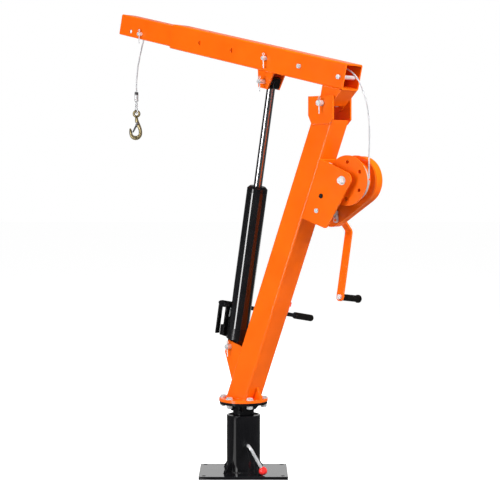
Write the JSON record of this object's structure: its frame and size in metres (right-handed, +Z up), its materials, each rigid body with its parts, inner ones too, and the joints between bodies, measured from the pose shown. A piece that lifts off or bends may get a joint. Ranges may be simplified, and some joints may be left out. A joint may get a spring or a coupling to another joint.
{
  "type": "pickup truck crane",
  "caption": "Swivelling pickup truck crane: bolted base and post, leaning square mast, jack-lifted telescopic boom, hand winch with geared drum, wire rope and hook.",
  "frame": {"origin": "middle of the underside of the base plate, on the swivel axis", "axes": "+Z up along the swivel axis, +X along the long side of the base plate; at rest the boom points 138 degrees from +X towards +Y"},
  "size_m": [0.8472, 0.7477, 1.5176],
  "materials": {
    "orange_paint": "gloss",
    "black_paint": "gloss",
    "zinc": "bright zinc plate",
    "chrome": "hard chrome",
    "red_plastic": "gloss",
    "black_rubber": "matt",
    "bronze": "turned",
    "wire_rope": "galvanised strand",
    "ferrule_metal": "swaged",
    "yellow_zinc": "yellow zinc plate",
    "latch_steel": "bright"
  },
  "bodies": {
    "base": {"base_plate": "black_paint", "post": "black_paint", "thrust_disc": "bronze", "swivel_bushes": "bronze"},
    "lock": {"lock_screw": "zinc", "lock_ball": "red_plastic"},
    "mast": {"swivel_stub": "black_paint", "mast_flange": "orange_paint", "flange_bolts": "zinc", "flange_nuts": "zinc", "mast_tube": "orange_paint", "head_plates": "orange_paint", "hinge_pin": "zinc", "jack_foot_plates": "orange_paint", "foot_pin": "zinc", "mast_pin_clips": "zinc", "winch_frame": "orange_paint", "winch_bolts": "zinc", "gear_cover": "orange_paint", "drum_axle": "zinc", "cable_rear": "wire_rope"},
    "boom": {"boom_tube": "orange_paint", "boom_hinge_plates": "orange_paint", "jack_ears": "orange_paint", "jack_top_pin": "zinc", "extension_pin": "zinc", "boom_pin_clips": "zinc", "boom_set_bolt": "zinc", "rear_roller_bolt": "zinc", "cable_boom": "wire_rope"},
    "rear_roller": {"rear_roller": "zinc"},
    "inner": {"inner_boom": "orange_paint", "tip_pin": "zinc", "tip_clip": "zinc", "cable_inner": "wire_rope"},
    "tip_roller": {"tip_roller": "zinc"},
    "drop": {"cable_drop": "wire_rope", "cable_ferrule": "ferrule_metal", "cable_loop": "wire_rope"},
    "hook": {"hook": "yellow_zinc"},
    "latch": {"hook_latch": "latch_steel"},
    "jack": {"jack_base": "black_paint", "jack_cylinder": "black_paint", "jack_cap": "black_paint", "pump_links": "black_paint"},
    "ram": {"jack_ram": "chrome", "ram_eye": "black_paint"},
    "pump": {"pump_rocker": "black_paint", "pump_handle": "black_paint", "handle_grip": "black_rubber", "handle_knob": "red_plastic"},
    "plunger": {"pump_plunger": "chrome"},
    "drum": {"winch_drum": "orange_paint", "cable_winding": "wire_rope"},
    "layshaft": {"layshaft": "black_paint"},
    "crank": {"crank_shaft": "zinc", "crank_arm": "orange_paint", "crank_fasteners": "zinc"},
    "crank_grip": {"crank_grip": "black_rubber"},
    "pawl": {"pawl": "zinc"}
  },
  "joints": [
    {"name": "lock_lever", "type": "hinge", "parent": "base", "child": "lock", "pos_m": [0, 0, 0.102], "axis": [0.2079, -0.9781, 0], "range_deg": [0, 150]},
    {"name": "mast_swivel", "type": "hinge", "parent": "base", "child": "mast", "pos_m": [0, 0, 0.2], "axis": [0, 0, 1], "continuous": true},
    {"name": "boom_lift", "type": "hinge", "parent": "mast", "child": "boom", "pos_m": [0.26803, -0.24134, 1.1824], "axis": [0.6691, 0.7431, 0], "range_deg": [-20, 20], "deforming": ["cable_rear"]},
    {"name": "jack_tilt", "type": "hinge", "parent": "mast", "child": "jack", "pos_m": [-0.02375, 0.02138, 0.4135], "axis": [0.6691, 0.7431, 0], "range_deg": [-1, 1]},
    {"name": "ram_slide", "type": "slide", "parent": "jack", "child": "ram", "axis": [0.1322, -0.119, 0.9841], "range_m": [-0.0893, 0.0893]},
    {"name": "rear_roller_spin", "type": "hinge", "parent": "boom", "child": "rear_roller", "pos_m": [0.31315, -0.28197, 1.2587], "axis": [0.6691, 0.7431, 0], "continuous": true},
    {"name": "boom_slide", "type": "slide", "parent": "boom", "child": "inner", "axis": [-0.7241, 0.652, 0.225], "range_m": [0, 0.24]},
    {"name": "tip_roller_spin", "type": "hinge", "parent": "inner", "child": "tip_roller", "pos_m": [-0.32405, 0.29178, 1.44331], "axis": [0.6691, 0.7431, 0], "continuous": true},
    {"name": "cable_drop_swing", "type": "hinge", "parent": "inner", "child": "drop", "pos_m": [-0.32405, 0.29178, 1.44331], "axis": [0.6691, 0.7431, 0], "range_deg": [-20, 20]},
    {"name": "hook_swing", "type": "hinge", "parent": "drop", "child": "hook", "pos_m": [-0.3686, 0.33189, 1.1804], "axis": [0, 1, 0], "range_deg": [-25, 25]},
    {"name": "latch_swing", "type": "hinge", "parent": "hook", "child": "latch", "pos_m": [-0.3656, 0.33189, 1.146], "axis": [0, -1, 0], "range_deg": [0, 30], "stiffness_Nm_per_rad": 0.05},
    {"name": "pump_stroke", "type": "hinge", "parent": "jack", "child": "pump", "pos_m": [-0.06113, 0.01737, 0.55014], "axis": [0.7313, -0.6585, -0.1779], "range_deg": [0, 50]},
    {"name": "plunger_slide", "type": "slide", "parent": "jack", "child": "plunger", "axis": [0.1322, -0.119, 0.9841], "range_m": [0, 0.0217]},
    {"name": "drum_spin", "type": "hinge", "parent": "mast", "child": "drum", "pos_m": [0.32525, -0.29286, 0.94853], "axis": [0.6691, 0.7431, 0], "continuous": true},
    {"name": "layshaft_spin", "type": "hinge", "parent": "mast", "child": "layshaft", "pos_m": [0.26602, -0.23953, 0.90158], "axis": [0.6691, 0.7431, 0], "continuous": true},
    {"name": "crank_spin", "type": "hinge", "parent": "mast", "child": "crank", "pos_m": [0.25295, -0.22776, 0.85692], "axis": [0.6691, 0.7431, 0], "continuous": true},
    {"name": "crank_grip_spin", "type": "hinge", "parent": "crank", "child": "crank_grip", "pos_m": [0.30342, -0.14323, 0.58449], "axis": [0.6578, 0.7433, -0.1215], "continuous": true},
    {"name": "pawl_swing", "type": "hinge", "parent": "mast", "child": "pawl", "pos_m": [0.26752, -0.24087, 0.82673], "axis": [0.6691, 0.7431, 0], "range_deg": [0, 18], "stiffness_Nm_per_rad": 0.2}
  ],
  "couplings": [
    {"joint": "jack_tilt", "follows": "boom_lift", "ratio": 0.036},
    {"joint": "ram_slide", "follows": "boom_lift", "m_per_rad": 0.253},
    {"joint": "cable_drop_swing", "follows": "boom_lift", "ratio": -1},
    {"joint": "plunger_slide", "follows": "pump_stroke", "m_per_rad": 0.0248},
    {"joint": "layshaft_spin", "follows": "drum_spin", "ratio": -2.3636},
    {"joint": "crank_spin", "follows": "drum_spin", "ratio": 7.0909}
  ]
}
